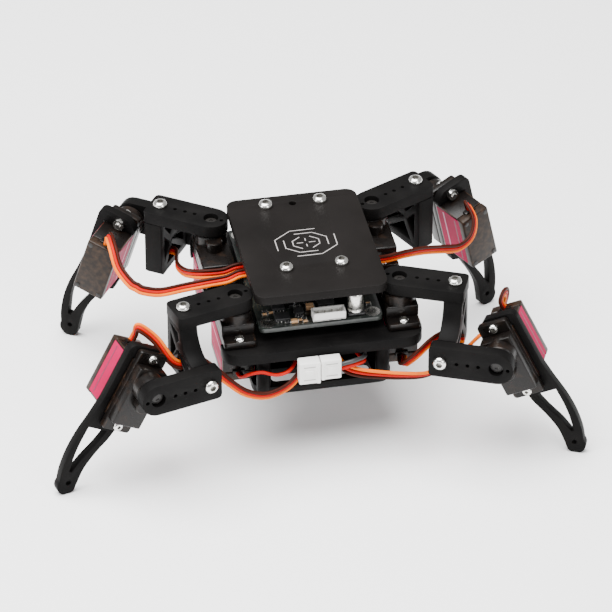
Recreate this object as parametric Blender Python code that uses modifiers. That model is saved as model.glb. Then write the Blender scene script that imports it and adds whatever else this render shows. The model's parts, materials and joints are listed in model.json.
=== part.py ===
"""Four-legged walking robot with eight micro servos.

The robot stands on the floor (z = 0) with its front towards -Y. Each leg is a
chain of two servo joints: the hip turns the leg about a vertical axis, and the
knee swings the foot plate about a horizontal axis. All lengths are in metres.
"""
import math

import bmesh
import bpy
from mathutils import Matrix, Vector

MM = 0.001
GAP = 0.3 * MM                      # clearance between touching pieces

# ---- stance -----------------------------------------------------------------
PITCH = math.radians(2.97)          # the chassis stands nose down
ROLL = math.radians(0.59)           # and a little to its left
LEGS = {                            # side in X, side in Y, yaw from the X axis
    "front_left": (-1, -1, math.radians(14.8)),
    "front_right": (1, -1, math.radians(23.8)),
    "back_left": (-1, 1, math.radians(34.1)),
    "back_right": (1, 1, math.radians(25.6)),
}
ORIGIN_X = 2.8705 * MM              # chassis centre, so that the stance is centred on the origin
ORIGIN_Y = -3.5365 * MM
STANCE = (Matrix.Translation((ORIGIN_X, ORIGIN_Y, 0)) @ Matrix.Rotation(-ROLL, 4, "Y")
          @ Matrix.Rotation(PITCH, 4, "X"))

# ---- micro servo --------------------------------------------------------------
SERVO_L = 23.0 * MM
SERVO_W = 11.8 * MM
SERVO_H = 24.0 * MM
TAB_L = 32.3 * MM
TAB_T = 2.5 * MM
TAB_Z = 17.0 * MM                   # case bottom to the underside of the tabs
SHAFT_X = 5.7 * MM                  # case centre to the output shaft
TAB_HOLE = 14.0 * MM                # case centre to a tab hole
BOSS_R = 5.8 * MM
BOSS_H = 4.0 * MM
SHAFT_R = 2.3 * MM

# ---- leg links ------------------------------------------------------------------
ARM_W = 12.4 * MM
ARM_T = 4.5 * MM
HALF_SPAN = 20.5 * MM               # arm's outer face to the centre of its servo
CASE_TO_FACE = 33.5 * MM            # arm's outer face to the servo's case bottom
HUB_R = 2.7 * MM
KNEE_U = 39.1 * MM                  # hip axis to knee axis
SCREW_U = 20.0 * MM                 # arm screw to the arm's own axis
ARM_HOLES = (6.4 * MM, 10.2 * MM, 14.1 * MM)
END_HOLE = 4.2 * MM
ARM_TAIL = 4.2 * MM                 # arm screw to the arm's square end
WEB_U = (17.0 * MM, 23.6 * MM)      # the corner web, along the leg
PLATE_T = 3.2 * MM
FOOT_W = 48.4 * MM                  # knee axis to the middle of the round foot, down the plate
FOOT_N = 5.2 * MM                   # and outwards across it
FOOT_R = 3.7 * MM
SOLE_CUT = 0.14 * MM                # depth of the flat that the foot stands on

# ---- chassis --------------------------------------------------------------------
HIP_X = 29.5 * MM
HIP_Y = (-20.9 * MM, 27.4 * MM)
ARM_Z = 66.3 * MM                   # top face of the hip arms, above the chassis origin
KNEE_Z = ARM_Z - HALF_SPAN
CASE_Z = ARM_Z - CASE_TO_FACE       # underside of the hip servos
FRAME_TOP = CASE_Z + TAB_Z - GAP
FRAME_T = 4.2 * MM
FRAME_X = 36.0 * MM
FRAME_END = 14.6 * MM               # hip axis to the end of the frame
FRAME_R = 6.5 * MM
TRAY_TOP = CASE_Z - GAP
TRAY_T = 3.0 * MM
COVER_W = 47.6 * MM
COVER_D = 61.9 * MM
COVER_T = 3.4 * MM
COVER_TOP = ARM_Z + 3.9 * MM
POST_X = 9.9 * MM
POST_Y = (-14.6 * MM, 25.3 * MM)
BOARD_TOP = ARM_Z - 11.0 * MM
BOARD_T = 1.6 * MM

# ---- leads ------------------------------------------------------------------------
LEAD_R = 1.1 * MM
PASS = (3.4, -21.3)                 # middle of the web's lowest opening: side, height, in mm

PARTS = "four_legged_robot"


# ---- scene helpers ----------------------------------------------------------------
def clear_scene():
    for item in list(bpy.data.objects):
        bpy.data.objects.remove(item, do_unlink=True)


def collection(name):
    group = bpy.data.collections.new(name)
    bpy.context.scene.collection.children.link(group)
    return group


def material(name, colour, roughness, metallic=0.0):
    made = bpy.data.materials.new(name)
    made.use_nodes = True
    shader = made.node_tree.nodes["Principled BSDF"]
    shader.inputs["Base Color"].default_value = (*colour, 1)
    shader.inputs["Roughness"].default_value = roughness
    shader.inputs["Metallic"].default_value = metallic
    return made


def add_mesh(name, mesh, finish, matrix=None):
    made = bpy.data.objects.new(name, mesh)
    bpy.data.collections[PARTS].objects.link(made)
    mesh.materials.clear()
    mesh.materials.append(finish)
    made.matrix_world = STANCE if matrix is None else STANCE @ matrix
    return made


# ---- outlines ---------------------------------------------------------------------
def circle(x, y, radius, count=16):
    turn = 2 * math.pi / count
    return [(x + radius * math.cos(i * turn), y + radius * math.sin(i * turn)) for i in range(count)]


def arc(x, y, radius, start, end, count):
    step = math.radians(end - start) / count
    first = math.radians(start)
    return [(x + radius * math.cos(first + i * step), y + radius * math.sin(first + i * step))
            for i in range(count + 1)]


def rounded_box(x0, y0, x1, y1, radius, count=4):
    points = arc(x1 - radius, y1 - radius, radius, 0, 90, count)
    points += arc(x0 + radius, y1 - radius, radius, 90, 180, count)
    points += arc(x0 + radius, y0 + radius, radius, 180, 270, count)
    points += arc(x1 - radius, y0 + radius, radius, 270, 360, count)
    return points


def smooth_run(points, steps):
    """A smooth open run through the points, with a few steps between each two."""
    ends = [points[0]] + list(points) + [points[-1]]
    made = []
    for i in range(1, len(ends) - 2):
        a, b, c, d = (Vector(p) for p in ends[i - 1:i + 3])
        for k in range(steps):
            t = k / steps
            made.append(0.5 * (2 * b + (c - a) * t + (2 * a - 5 * b + 4 * c - d) * t * t
                               + (3 * b - a - 3 * c + d) * t ** 3))
    made.append(Vector(points[-1]))
    return made


# ---- solids -----------------------------------------------------------------------
def curve_to_mesh(curve_data, merge=0.02 * MM):
    """Turns a curve into one welded mesh and removes the curve."""
    holder = bpy.data.objects.new("curve", curve_data)
    bpy.context.scene.collection.objects.link(holder)
    graph = bpy.context.evaluated_depsgraph_get()
    mesh = bpy.data.meshes.new_from_object(holder.evaluated_get(graph))
    bpy.data.objects.remove(holder, do_unlink=True)
    work = bmesh.new()
    work.from_mesh(mesh)
    bmesh.ops.remove_doubles(work, verts=work.verts, dist=merge)
    bmesh.ops.recalc_face_normals(work, faces=work.faces)
    work.to_mesh(mesh)
    work.free()
    return mesh


def slab_mesh(loops, thickness):
    """A flat plate in XY, centred on z = 0: the first loop is its outline, the rest are holes."""
    data = bpy.data.curves.new("outline", "CURVE")
    data.dimensions = "2D"
    data.fill_mode = "BOTH"
    data.extrude = thickness / 2
    for loop in loops:
        spline = data.splines.new("POLY")
        spline.points.add(len(loop) - 1)
        for point, (x, y) in zip(spline.points, loop):
            point.co = (x, y, 0, 1)
        spline.use_cyclic_u = True
    return curve_to_mesh(data)


def box_mesh(x0, y0, z0, x1, y1, z1):
    work = bmesh.new()
    bmesh.ops.create_cube(work, size=1)
    bmesh.ops.scale(work, vec=(x1 - x0, y1 - y0, z1 - z0), verts=work.verts)
    bmesh.ops.translate(work, vec=((x0 + x1) / 2, (y0 + y1) / 2, (z0 + z1) / 2), verts=work.verts)
    mesh = bpy.data.meshes.new("box")
    work.to_mesh(mesh)
    work.free()
    return mesh


def rod_mesh(radius, z0, z1, sides=24, x=0.0, y=0.0):
    work = bmesh.new()
    bmesh.ops.create_cone(work, cap_ends=True, segments=sides, radius1=radius, radius2=radius, depth=z1 - z0)
    bmesh.ops.translate(work, vec=(x, y, (z0 + z1) / 2), verts=work.verts)
    mesh = bpy.data.meshes.new("rod")
    work.to_mesh(mesh)
    work.free()
    return mesh


def join_bodies(body, others, operation="UNION"):
    """Keeps exact Boolean modifiers on the body, one for each other mesh."""
    for index, mesh in enumerate(others):
        tool = bpy.data.objects.new(f"{body.name}_tool_{index}", mesh)
        bpy.data.collections["cutters"].objects.link(tool)
        tool.matrix_world = body.matrix_world
        tool.hide_render = True
        tool.display_type = "WIRE"
        step = body.modifiers.new(f"{operation.lower()}_{index}", "BOOLEAN")
        step.operation = operation
        step.solver = "EXACT"
        step.object = tool


def soften(item, width, segments=1):
    step = item.modifiers.new("edges", "BEVEL")
    step.width = width
    step.segments = segments
    step.limit_method = "ANGLE"
    step.angle_limit = math.radians(50)


def tube(name, points, finish):
    """A plain round lead along a smooth run through the points."""
    data = bpy.data.curves.new(name, "CURVE")
    data.dimensions = "3D"
    data.bevel_depth = LEAD_R
    data.bevel_resolution = 2
    data.use_fill_caps = True
    run = smooth_run(points, 3)
    spline = data.splines.new("POLY")
    spline.points.add(len(run) - 1)
    for point, place in zip(spline.points, run):
        point.co = (*place, 1)
    return add_mesh(name, curve_to_mesh(data, 0.005 * MM), finish)


# ---- frames of reference ------------------------------------------------------------
def frame_matrix(x_axis, z_axis, place):
    x_axis = Vector(x_axis).normalized()
    z_axis = Vector(z_axis).normalized()
    y_axis = z_axis.cross(x_axis)
    turn = Matrix((x_axis, y_axis, z_axis)).transposed()
    return Matrix.Translation(place) @ turn.to_4x4()


class Leg:
    """Axes of one leg: u runs outwards, s to the side that carries the knee arm."""

    def __init__(self, name):
        side_x, side_y, yaw = LEGS[name]
        self.name = name
        self.side_y = side_y
        self.hand = side_x * side_y
        self.u = Vector((side_x * math.cos(yaw), side_y * math.sin(yaw), 0))
        self.s = Vector((-side_x * math.sin(yaw), side_y * math.cos(yaw), 0))
        row = HIP_Y[0] if side_y < 0 else HIP_Y[1]
        self.hip = Vector((side_x * HIP_X, row, 0))
        self.up = Vector((0, 0, 1))
        self.set_lean(math.radians(5), math.radians(50))

    def set_lean(self, low, high):
        """Swings the foot outwards until it meets the floor."""
        for _ in range(40):
            self.lean = (low + high) / 2
            self.down_leg = self.u * math.sin(self.lean) - self.up * math.cos(self.lean)
            self.out_leg = self.u * math.cos(self.lean) + self.up * math.sin(self.lean)
            foot = STANCE @ self.at_knee(FOOT_N, FOOT_W, 0)
            if foot.z > FOOT_R - SOLE_CUT:
                high = self.lean
            else:
                low = self.lean

    def at(self, u, s, z):
        return self.hip + self.u * u + self.s * s + self.up * z

    def at_knee(self, n, w, s):
        """A point from the knee axis: n outwards across the foot plate, w down it."""
        return self.at(KNEE_U, s, KNEE_Z) + self.out_leg * n + self.down_leg * w


# ---- servo ---------------------------------------------------------------------------
def servo(name, place, x_axis, z_axis, finish):
    """A servo whose origin is the output shaft at the case bottom."""
    middle = -SHAFT_X
    matrix = frame_matrix(x_axis, z_axis, place)
    body = add_mesh(name, box_mesh(middle - SERVO_L / 2, -SERVO_W / 2, 0,
                                   middle + SERVO_L / 2, SERVO_W / 2, SERVO_H), finish, matrix)
    tabs = [rounded_box(middle - TAB_L / 2, -SERVO_W / 2 + 0.1 * MM,
                        middle + TAB_L / 2, SERVO_W / 2 - 0.1 * MM, 1.2 * MM, 2)]
    tabs += [circle(middle + side * TAB_HOLE, 0, 1.05 * MM, 10) for side in (-1, 1)]
    flange = slab_mesh(tabs, TAB_T)
    flange.transform(Matrix.Translation((0, 0, TAB_Z + TAB_T / 2)))
    boss = rod_mesh(BOSS_R, SERVO_H - 1 * MM, SERVO_H + BOSS_H, 24)
    idle = rod_mesh(2.9 * MM, SERVO_H - 1 * MM, SERVO_H + BOSS_H - 0.15 * MM, 16, x=-BOSS_R - 0.6 * MM)
    join_bodies(body, [flange, boss, idle])
    return body


def output_shaft(name, place, z_axis, x_axis, finish):
    """The splined shaft with its hub, seated in the arm's bore."""
    matrix = frame_matrix(x_axis, z_axis, place)
    low = SERVO_H + BOSS_H + GAP
    body = add_mesh(name, rod_mesh(SHAFT_R, low, CASE_TO_FACE - 1.0 * MM, 18), finish, matrix)
    return body


# ---- leg pieces -------------------------------------------------------------------------
def arm_loops(axis, screw, far_end):
    """Outline and holes of an arm on the X axis: round about its axis, square past its screw."""
    half = ARM_W / 2
    way = 1 if screw > axis else -1
    turn = (90, 270) if way > 0 else (-90, 90)
    loop = arc(axis, 0, half, *turn, 12)
    corner = 1.6 * MM
    if way > 0:
        loop += arc(far_end - corner, -half + corner, corner, 270, 360, 3)
        loop += arc(far_end - corner, half - corner, corner, 0, 90, 3)
    else:
        loop += arc(far_end + corner, half - corner, corner, 90, 180, 3)
        loop += arc(far_end + corner, -half + corner, corner, 180, 270, 3)
    holes = [circle(axis, 0, HUB_R, 20), circle(axis - way * END_HOLE, 0, 0.75 * MM, 8)]
    holes += [circle(axis + way * step, 0, 0.75 * MM, 8) for step in ARM_HOLES]
    holes += [circle(screw, 0, 1.45 * MM, 12)]
    return [loop] + holes


def hip_arm(leg, finish):
    """The flat arm that the hip servo turns, above the chassis."""
    mesh = slab_mesh(arm_loops(0, SCREW_U, SCREW_U + ARM_TAIL), ARM_T)
    matrix = frame_matrix(leg.u, leg.up, leg.at(0, 0, ARM_Z - ARM_T / 2))
    item = add_mesh(f"hip_arm_{leg.name}", mesh, finish, matrix)
    return item


def knee_arm(leg, finish):
    """The same arm turned on edge, which holds the knee servo's shaft."""
    mesh = slab_mesh(arm_loops(KNEE_U, KNEE_U - SCREW_U, KNEE_U - SCREW_U - ARM_TAIL), ARM_T)
    matrix = frame_matrix(leg.u, leg.s, leg.at(0, HALF_SPAN - ARM_T / 2, KNEE_Z))
    item = add_mesh(f"knee_arm_{leg.name}", mesh, finish, matrix)
    return item


def web_loops():
    """Side view of the corner web: s across, z down from the hip arm's top face."""
    half = ARM_W / 2
    top = -ARM_T - GAP
    low = -HALF_SPAN - half
    side = HALF_SPAN - ARM_T - GAP
    throat = 1.2 * MM
    reach = side - half + throat
    outline = [(-half, top), (-half, low + 1.5 * MM), (-half + 1.5 * MM, low), (side, low)]
    outline += [(side, -HALF_SPAN + half)]
    outline += arc(side, top - 0.3 * MM, reach, 262, 180, 8)
    rim = 2.8 * MM
    left = -half + rim
    floor = low + rim
    crossing = Vector((left + 6.2 * MM, floor + 8.2 * MM))
    rib = 1.3 * MM
    inner = arc(side, top - 0.3 * MM, reach + rim, 256, 192, 5)
    west = [(left, floor + 2.2 * MM), (crossing.x - 1.8 * MM, crossing.y), (left, top - 6.4 * MM)]
    south = [(left + 2.0 * MM, floor), (side - 4.6 * MM, floor), (crossing.x, crossing.y - 1.8 * MM)]
    north = [(left + 0.4 * MM, top - 2.6 * MM), (crossing.x - rib, crossing.y + 3.0 * MM),
             (inner[-2][0], inner[-2][1]), (inner[-1][0], inner[-1][1])]
    east = [(crossing.x + 2.0 * MM, crossing.y), (side - 2.4 * MM, floor + 1.4 * MM),
            (side - 2.4 * MM, inner[0][1]), (inner[1][0], inner[1][1])]
    return [outline, west, south, north, east]


def corner_web(leg, finish):
    """The pierced web that joins the flat hip arm to the upright knee arm."""
    loops = [[(x * leg.hand, y) for x, y in loop] for loop in web_loops()]
    mesh = slab_mesh(loops, WEB_U[1] - WEB_U[0])
    # the sheet's X is the leg's side, its Y is up, its Z is along the leg
    turn = Matrix((leg.s * leg.hand, leg.up, (leg.s * leg.hand).cross(leg.up))).transposed().to_4x4()
    middle = (WEB_U[0] + WEB_U[1]) / 2
    matrix = Matrix.Translation(leg.at(middle, 0, ARM_Z)) @ turn
    return add_mesh(f"corner_web_{leg.name}", mesh, finish, matrix)


def foot_loops():
    """Side view of the foot plate: n across (outwards), w down from the knee axis."""
    half = SERVO_W / 2 + GAP
    head = -SERVO_L / 2 + SHAFT_X - GAP
    heel = SERVO_L / 2 + SHAFT_X + GAP
    middle = (FOOT_N / MM, FOOT_W / MM, FOOT_R / MM)
    tip = arc(*middle, -8, 165, 14)
    outer = smooth_run([(8.8, 12.0), (9.7, 20.0), (10.9, 28.0), (11.1, 36.0), (10.2, 43.0),
                        (8.9, 47.4)], 3)
    inner = smooth_run([(2.0, 45.6), (2.2, 40.0), (0.8, 33.0), (-1.2, 27.0), (-1.9, 23.2)], 3)
    outline = [(-2.8, -11.0)] + arc(6.2, -8.4, 2.6, 270, 360, 4)
    outline += [tuple(p) for p in outer] + tip + [tuple(p) for p in inner]
    outline += [(-3.6, 22.6), (-5.8, 21.4)]
    left = smooth_run([(0.9, 24.0), (2.4, 30.0), (4.9, 37.0), (6.2, 42.8)], 3)
    right = smooth_run([(7.2, 42.8), (8.5, 36.0), (8.9, 30.0), (8.8, 24.0)], 3)
    outline = [(x * MM, y * MM) for x, y in outline]
    outline += [(-half, heel), (half, heel), (half, head), (-half, head), (-half, head - 2 * MM)]
    slot = [(p[0] * MM, p[1] * MM) for p in left + right]
    holes = [circle(0, side * TAB_HOLE + SHAFT_X, 0.9 * MM, 10) for side in (-1, 1)]
    holes.append(circle(FOOT_N, FOOT_W - 1.2 * MM, 1.0 * MM, 10))
    return [outline, slot] + holes


def foot_plate(leg, finish):
    """The leg's last link: a holder for the knee servo and two bars down to the foot."""
    loops = [[(x * leg.hand, -y) for x, y in loop] for loop in foot_loops()]
    mesh = slab_mesh(loops, PLATE_T)
    across = leg.out_leg * leg.hand
    along = -leg.down_leg
    turn = Matrix((across, along, across.cross(along))).transposed().to_4x4()
    face = HALF_SPAN - CASE_TO_FACE + TAB_Z - GAP
    matrix = Matrix.Translation(leg.at_knee(0, 0, face - PLATE_T / 2)) @ turn
    body = add_mesh(f"foot_plate_{leg.name}", mesh, finish, matrix)
    floor = box_mesh(-0.2, -0.2, -20 * MM, 0.2, 0.2, 0)
    floor.transform(body.matrix_world.inverted())
    join_bodies(body, [floor], "DIFFERENCE")
    return body


def build_leg(leg, finish):
    hip_base = leg.at(0, 0, CASE_Z)
    servo(f"hip_servo_{leg.name}", hip_base, (0, leg.side_y, 0), (0, 0, 1), finish["case"])
    output_shaft(f"hip_shaft_{leg.name}", hip_base, (0, 0, 1), leg.u, finish["brass"])
    hip_arm(leg, finish["frame"])
    corner_web(leg, finish["frame"])
    knee_arm(leg, finish["frame"])
    knee_base = leg.at_knee(0, 0, HALF_SPAN - CASE_TO_FACE)
    servo(f"knee_servo_{leg.name}", knee_base, -leg.down_leg, leg.s, finish["case"])
    output_shaft(f"knee_shaft_{leg.name}", knee_base, leg.s, -leg.down_leg, finish["brass"])
    foot_plate(leg, finish["frame"])


# ---- chassis -----------------------------------------------------------------------------
def chassis_matrix(z):
    return Matrix.Translation((0, 0, z))


def frame_outline():
    """A deck with four pockets, open to the sides, for the hip servos."""
    front = HIP_Y[0] - FRAME_END
    back = HIP_Y[1] + FRAME_END
    inside = HIP_X - SERVO_W / 2 - GAP
    half = SERVO_L / 2 + GAP
    rows = (HIP_Y[0] + SHAFT_X, HIP_Y[1] - SHAFT_X)
    right = arc(FRAME_X - FRAME_R, front + FRAME_R, FRAME_R, 270, 360, 6)
    for row in rows:
        right += [(FRAME_X, row - half), (inside, row - half), (inside, row + half), (FRAME_X, row + half)]
    right += arc(FRAME_X - FRAME_R, back - FRAME_R, FRAME_R, 0, 90, 6)
    left = [(-x, y) for x, y in reversed(right)]
    return right + left


def main_frame(finish):
    loops = [frame_outline()]
    inner_x = 18.8 * MM
    windows = ((POST_Y[0] + 4 * MM, POST_Y[1] - 4 * MM),
               (POST_Y[1] + 4 * MM, HIP_Y[1] + FRAME_END - 5 * MM))
    for low, high in windows:
        loops.append(rounded_box(-inner_x, low, inner_x, high, 2 * MM, 2))
    for side in (-1, 1):
        for row, out in zip(HIP_Y, (-1, 1)):
            loops.append(circle(side * HIP_X, row + out * (TAB_HOLE - SHAFT_X), 0.9 * MM, 10))
            loops.append(circle(side * HIP_X, row - out * (TAB_HOLE + SHAFT_X), 0.9 * MM, 10))
    mesh = slab_mesh(loops, FRAME_T)
    return add_mesh("main_frame", mesh, finish, chassis_matrix(FRAME_TOP - FRAME_T / 2))


def tray(finish):
    """The battery's floor, with the four columns that hang it from the deck."""
    low = HIP_Y[0] - 12 * MM
    high = HIP_Y[1] + 12 * MM
    loops = [rounded_box(-25 * MM, low, 25 * MM, high, 5 * MM, 4)]
    for side in (-1, 1):
        x0, x1 = sorted((side * 6 * MM, side * 18 * MM))
        loops.append(rounded_box(x0, low + 3.5 * MM, x1, low + 11 * MM, 1.5 * MM, 2))
        loops.append(rounded_box(x0, high - 11 * MM, x1, high - 3.5 * MM, 1.5 * MM, 2))
    mesh = slab_mesh(loops, TRAY_T)
    body = add_mesh("battery_tray", mesh, finish, chassis_matrix(TRAY_TOP - TRAY_T / 2))
    rise = FRAME_TOP - FRAME_T - GAP - TRAY_TOP + TRAY_T / 2
    columns = [rod_mesh(2.6 * MM, 0, rise, 12, side * 21.4 * MM, row)
               for side in (-1, 1) for row in (HIP_Y[0] - 10.2 * MM, HIP_Y[1] + 10.2 * MM)]
    join_bodies(body, columns)
    return body


def posts(finish):
    """Columns from the deck to the cover."""
    low = FRAME_TOP + GAP
    high = COVER_TOP - COVER_T - GAP
    for side_x, label in ((-1, "left"), (1, "right")):
        for row, place in zip(POST_Y, ("front", "back")):
            mesh = rod_mesh(2.7 * MM, low, high, 12, side_x * POST_X, row)
            add_mesh(f"cover_post_{place}_{label}", mesh, finish, chassis_matrix(0))


def cover(finish):
    loops = [rounded_box(-COVER_W / 2, -COVER_D / 2, COVER_W / 2, COVER_D / 2, 4 * MM, 5)]
    loops += [circle(x, y, 1.5 * MM, 12) for x in (-POST_X, POST_X) for y in POST_Y]
    loops.append(circle(0, POST_Y[1], 1.3 * MM, 12))
    item = add_mesh("top_cover", slab_mesh(loops, COVER_T), finish,
                    chassis_matrix(COVER_TOP - COVER_T / 2))
    return item


def board(finish):
    loops = [rounded_box(-22.2 * MM, -29.0 * MM, 22.2 * MM, 34.0 * MM, 2 * MM, 3)]
    loops += [circle(x, y, 3.1 * MM, 16) for x in (-POST_X, POST_X) for y in POST_Y]
    loops += [circle(x, y, 1.6 * MM, 12) for x in (-18.8 * MM, 18.8 * MM) for y in (-25.4 * MM, 30.4 * MM)]
    return add_mesh("control_board", slab_mesh(loops, BOARD_T), finish,
                    chassis_matrix(BOARD_TOP - BOARD_T / 2))


def on_board(name, x0, y0, x1, y1, height, finish):
    low = BOARD_TOP + GAP
    mesh = box_mesh(x0 * MM, y0 * MM, low, x1 * MM, y1 * MM, low + height * MM)
    return add_mesh(name, mesh, finish, chassis_matrix(0))


def electronics(finish):
    on_board("metal_can", 10.0, -28.0, 16.0, -20.5, 8.4, finish["steel"])
    on_board("power_header", -3.0, -28.6, 8.8, -24.2, 3.4, finish["white"])
    on_board("controller_module", -6.0, -8.0, 6.0, 18.0, 3.2, finish["board"])
    on_board("pin_strip_left", -21.0, -6.0, -15.8, 28.0, 6.2, finish["dark"])
    on_board("pin_strip_right", 15.8, -6.0, 21.0, 28.0, 6.2, finish["dark"])
    low = TRAY_TOP + GAP
    mesh = box_mesh(-14 * MM, -5.5 * MM, low, 14 * MM, 27 * MM, FRAME_TOP - FRAME_T - 2.8 * MM)
    pack = add_mesh("battery", mesh, finish["dark"], chassis_matrix(0))
    soften(pack, 1.5 * MM, 2)
    front = HIP_Y[0] - FRAME_END - GAP
    top = FRAME_TOP - 3.0 * MM
    for name, x0, x1, deep, tall in (("battery_plug", -10.2, -2.6, 4.4, 9.0),
                                     ("battery_socket", -2.3, 5.0, 4.0, 8.2)):
        mesh = box_mesh(x0 * MM, front - deep * MM, top - tall * MM, x1 * MM, front, top)
        add_mesh(name, mesh, finish["white"], chassis_matrix(0))


# ---- leads -------------------------------------------------------------------------------
def on_chassis(points):
    """Places from (x, y, height against the top of the hip arms), in mm."""
    return [Vector((x * MM, y * MM, ARM_Z + z * MM)) for x, y, z in points]


def on_leg(leg, points):
    """Places from (along the leg, to its side, height against its hip arm), in mm."""
    return [leg.at(u * MM, s * MM, ARM_Z + z * MM) for u, s, z in points]


def servo_exit(leg):
    """A knee servo's lead leaves the short end of the case, next to the bottom."""
    head = (SHAFT_X - SERVO_L / 2 - GAP) / MM
    return [leg.at_knee(n * MM, w * MM, s * MM) for n, w, s in ((0, head - 0.1, -9.5), (0, head - 3, -9.5))]


def front_left_leads(finish):
    leg = Leg("front_left")
    bend = [(33.5, -8.5, -9.6), (29.0, -4.2, -13.6), (26.0, 1.2, -19.4), (23.2, *PASS), (20.5, *PASS)]
    tube("knee_lead_front_left", servo_exit(leg) + on_leg(leg, bend), finish)
    start = on_leg(leg, [(20.1, *PASS), (16.2, *PASS)])
    run = [(-39.5, -31.6, -23.6), (-34.5, -35.0, -27.6), (-28.5, -37.0, -31.8), (-21.5, -37.4, -33.6),
           (-14.5, -36.6, -31.8), (-9.4, -34.0, -28.9), (-6.2, -30.0, -26.4), (-4.4, -24.0, -24.6),
           (-4.0, -17.0, -24.2), (-4.0, -12.5, -23.7), (-4.0, -8.6, -21.2), (-4.0, -7.4, -17.4),
           (-4.0, -7.4, -13.1)]
    tube("hip_lead_front_left", start + on_chassis(run), finish)
    own = [(-29.5, -27.1, -30.0), (-28.8, -31.0, -29.0), (-26.4, -34.2, -25.8), (-22.6, -35.4, -24.8),
           (-17.8, -35.6, -26.4), (-13.2, -34.4, -26.2), (-10.0, -30.5, -24.8), (-8.6, -24.0, -24.2),
           (-8.4, -17.0, -24.0), (-8.4, -12.5, -23.7), (-8.4, -8.6, -21.2), (-8.4, -7.4, -17.4),
           (-8.4, -7.4, -13.1)]
    tube("servo_lead_front_left", on_chassis(own), finish)


def front_right_leads(finish):
    leg = Leg("front_right")
    bend = [(35.3, -11.4, -10.3), (35.9, -14.7, -11.8), (35.4, -16.3, -16.8), (33.4, -15.6, -22.6),
            (30.2, -11.6, -26.2), (26.4, -5.2, -28.0), (22.6, 1.4, -30.0), (18.6, 7.4, -31.7)]
    tube("knee_lead_front_right", servo_exit(leg) + on_leg(leg, bend), finish)
    start = on_leg(leg, [(18.3, 7.8, -31.75)])
    run = [(35.5, -38.0, -32.0), (27.5, -38.2, -31.2), (18.5, -37.7, -29.8), (12.0, -36.6, -28.8),
           (7.6, -34.0, -28.0), (5.2, -30.0, -26.2), (4.2, -24.0, -24.6), (4.0, -17.0, -24.2),
           (4.0, -12.5, -23.7), (4.0, -8.6, -21.2), (4.0, -7.4, -17.4), (4.0, -7.4, -13.1)]
    tube("hip_lead_front_right", start + on_chassis(run), finish)
    start = on_leg(leg, [(24.6, *PASS), (20.4, *PASS), (16.2, *PASS)])
    own = [(38.2, -33.4, -21.6), (33.2, -35.4, -24.8), (29.0, -34.4, -29.0), (28.8, -31.0, -30.6),
           (29.5, -27.1, -30.6)]
    tube("servo_lead_front_right", start + on_chassis(own), finish)


def back_left_leads(finish):
    leg = Leg("back_left")
    bend = [(-64.6, 33.0, -12.6), (-63.6, 26.4, -16.8), (-60.6, 19.6, -19.2), (-58.8, 17.2, -19.4)]
    tube("knee_lead_back_left", servo_exit(leg) + on_chassis(bend), finish)
    run = [(-58.5, 16.9, -19.45), (-56.6, 14.6, -19.5), (-51.0, 10.2, -18.0), (-43.0, 6.2, -14.2), (-35.0, 4.5, -12.2),
           (-28.0, 4.0, -11.2), (-24.0, 4.0, -9.6), (-21.5, 4.0, -9.3)]
    tube("hip_lead_back_left", on_chassis(run), finish)
    start = on_leg(leg, [(26.0, *PASS), (20.4, *PASS), (15.6, *PASS)])
    own = [(-41.8, 30.0, -20.4), (-41.2, 20.0, -16.8), (-39.2, 12.4, -13.0), (-34.8, 8.6, -11.2),
           (-28.6, 8.0, -10.9), (-24.4, 8.0, -9.6), (-21.5, 8.0, -9.3)]
    tube("servo_lead_back_left", start + on_chassis(own), finish)


def back_right_leads(finish):
    leg = Leg("back_right")
    bend = [(68.4, 29.6, -15.0), (66.4, 25.4, -19.6), (61.0, 22.0, -21.4), (54.3, 18.4, -18.8)]
    tube("knee_lead_back_right", servo_exit(leg) + on_chassis(bend), finish)
    run = [(54.0, 18.2, -18.65), (46.3, 13.6, -15.0), (38.2, 8.6, -12.0), (30.0, 6.0, -11.4),
           (24.6, 4.5, -10.0), (21.5, 4.5, -9.3)]
    tube("hip_lead_back_right", on_chassis(run), finish)


def battery_lead(finish):
    run = [(5.4, -37.8, -24.2), (9.6, -37.5, -23.6), (13.6, -35.2, -24.2), (14.8, -31.0, -26.0),
           (13.4, -25.0, -27.0), (11.8, -16.0, -27.4), (11.0, -9.5, -27.2), (11.0, -5.9, -27.2)]
    tube("battery_lead", on_chassis(run), finish)


def main():
    clear_scene()
    collection(PARTS)
    collection("cutters")
    finish = {
        "frame": material("frame_plastic", (0.035, 0.034, 0.034), 0.55),
        "case": material("servo_case", (0.07, 0.055, 0.045), 0.3),
        "brass": material("shaft_brass", (0.5, 0.36, 0.14), 0.35, 1.0),
        "steel": material("steel", (0.62, 0.6, 0.57), 0.3, 1.0),
        "white": material("connector_white", (0.8, 0.8, 0.78), 0.45),
        "board": material("board_black", (0.02, 0.025, 0.022), 0.4),
        "dark": material("dark_plastic", (0.02, 0.02, 0.02), 0.5),
        "lead": material("lead_orange", (0.75, 0.2, 0.03), 0.5),
    }
    main_frame(finish["frame"])
    tray(finish["frame"])
    posts(finish["frame"])
    cover(finish["frame"])
    board(finish["board"])
    electronics(finish)
    for name in LEGS:
        build_leg(Leg(name), finish)
    front_left_leads(finish["lead"])
    front_right_leads(finish["lead"])
    back_left_leads(finish["lead"])
    back_right_leads(finish["lead"])
    battery_lead(finish["lead"])


main()
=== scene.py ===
"""Looks of the four-legged walking robot: finishes, leads, servos, screws and electronics."""
import json
import math
import random

import bmesh
import bpy
from mathutils import Matrix, Vector

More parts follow.
